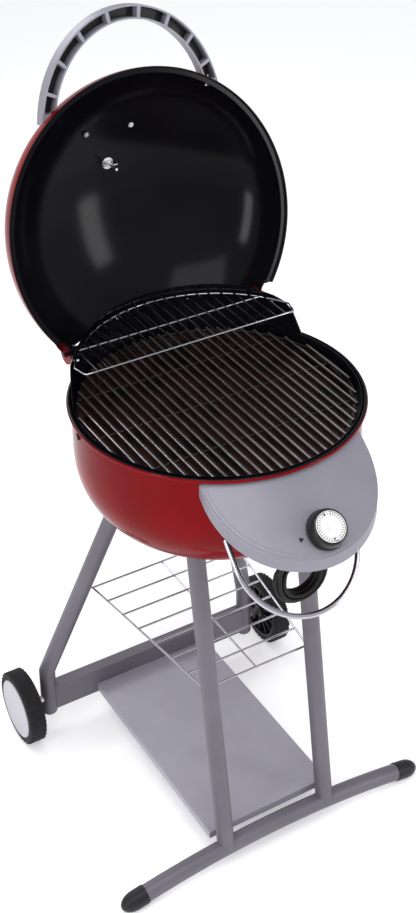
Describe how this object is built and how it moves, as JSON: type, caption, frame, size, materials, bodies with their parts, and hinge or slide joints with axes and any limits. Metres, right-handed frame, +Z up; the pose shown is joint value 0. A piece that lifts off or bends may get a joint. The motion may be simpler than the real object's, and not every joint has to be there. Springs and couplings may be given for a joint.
{
  "type": "patio kettle grill",
  "caption": "Electric patio kettle grill on a two-wheeled cart, with a hinged dome lid, heat control knob, towel ring and two shelves.",
  "frame": {"origin": "on the floor under the middle of the bowl", "axes": "+Z up, -Y towards the control panel at the front, +X to the right seen from the front"},
  "size_m": [0.6486, 0.7522, 1.465],
  "materials": {
    "black_enamel": "glossy black enamel",
    "black_plastic": "fine grain",
    "brass": "bright",
    "bright_sheet": "bright sheet",
    "cap_grey": "smooth light grey",
    "chrome_wire": "bright plated wire",
    "cord_rubber": "matt",
    "dark_plate": "dark brown baked coating",
    "dial_white": "printed face",
    "element": "dark sheath",
    "gloss_black": "smooth",
    "grate_rod": "seasoned plated rod",
    "leg_paint": "satin grey powder coat",
    "needle_red": "painted",
    "panel_plastic": "fine satin",
    "red_enamel": "glossy red enamel",
    "shelf_paint": "satin light grey powder coat",
    "silver_plastic": "metallic",
    "tyre": "diamond tread",
    "zinc": "zinc plated"
  },
  "bodies": {
    "root": {"foot_bar": "leg_paint", "foot_caps": "black_plastic", "front_leg_left": "leg_paint", "front_leg_right": "leg_paint", "rear_leg_left": "leg_paint", "rear_leg_right": "leg_paint", "rear_leg_plugs": "leg_paint", "rear_crossbar": "leg_paint", "leg_top_plugs": "black_plastic", "leg_bolts": "zinc", "lower_shelf": "shelf_paint", "shelf_screws": "zinc", "wire_shelf": "chrome_wire", "axle_bolt_left": "zinc", "axle_bolt_right": "zinc", "bowl": "red_enamel", "rear_wall": "black_enamel", "wall_screws": "black_enamel", "emitter_plate": "dark_plate", "heat_element": "element", "element_posts": "zinc", "reflector_pan": "bright_sheet", "rack_pegs": "zinc", "hinge_bosses": "black_enamel", "hinge_pins": "black_enamel", "hinge_washers": "zinc", "control_panel": "panel_plastic", "panel_screws": "zinc", "control_box": "black_plastic", "thermostat": "bright_sheet", "panel_marks": "gloss_black", "towel_ring": "chrome_wire", "ring_nuts": "zinc", "cord_hook": "zinc", "strain_relief": "cord_rubber", "cord_tube": "cord_rubber", "cord_coil": "cord_rubber", "plug_body": "cord_rubber", "plug_blades": "brass"},
    "lid": {"lid_shell": "red_enamel", "lid_ears": "red_enamel", "lid_handle": "panel_plastic", "handle_core": "black_plastic", "handle_screws": "zinc", "thermometer_case": "bright_sheet", "thermometer_dial": "dial_white", "thermometer_needle": "needle_red", "thermometer_nut": "zinc", "badge_plate": "silver_plastic", "badge_nuts": "zinc"},
    "knob": {"knob_body": "gloss_black", "knob_face": "silver_plastic"},
    "wheel_left": {"wheel_hub_left": "black_plastic", "tire_left": "tyre", "hub_cap_left": "cap_grey"},
    "wheel_right": {"wheel_hub_right": "black_plastic", "tire_right": "tyre", "hub_cap_right": "cap_grey"},
    "cooking_grate": {"cooking_grate": "grate_rod"},
    "warming_rack": {"warming_rack": "chrome_wire"}
  },
  "joints": [
    {"name": "lid_hinge", "type": "hinge", "parent": "root", "child": "lid", "pos_m": [0, 0.19, 0.911], "axis": [-1, 0, 0], "range_deg": [-104.5, 0]},
    {"name": "knob_turn", "type": "hinge", "parent": "root", "child": "knob", "pos_m": [0, -0.324, 0.796], "axis": [0, 0.6561, -0.7547], "range_deg": [0, 270]},
    {"name": "wheel_left_spin", "type": "hinge", "parent": "root", "child": "wheel_left", "pos_m": [-0.2865, 0.278, 0.074], "axis": [1, 0, 0], "continuous": true},
    {"name": "wheel_right_spin", "type": "hinge", "parent": "root", "child": "wheel_right", "pos_m": [0.2865, 0.278, 0.074], "axis": [1, 0, 0], "continuous": true},
    {"name": "grate_lift", "type": "slide", "parent": "root", "child": "cooking_grate", "axis": [0, 0, 1], "range_m": [0, 0.045]},
    {"name": "rack_pull", "type": "slide", "parent": "root", "child": "warming_rack", "axis": [0, -1, 0], "range_m": [0, 0.06]}
  ]
}
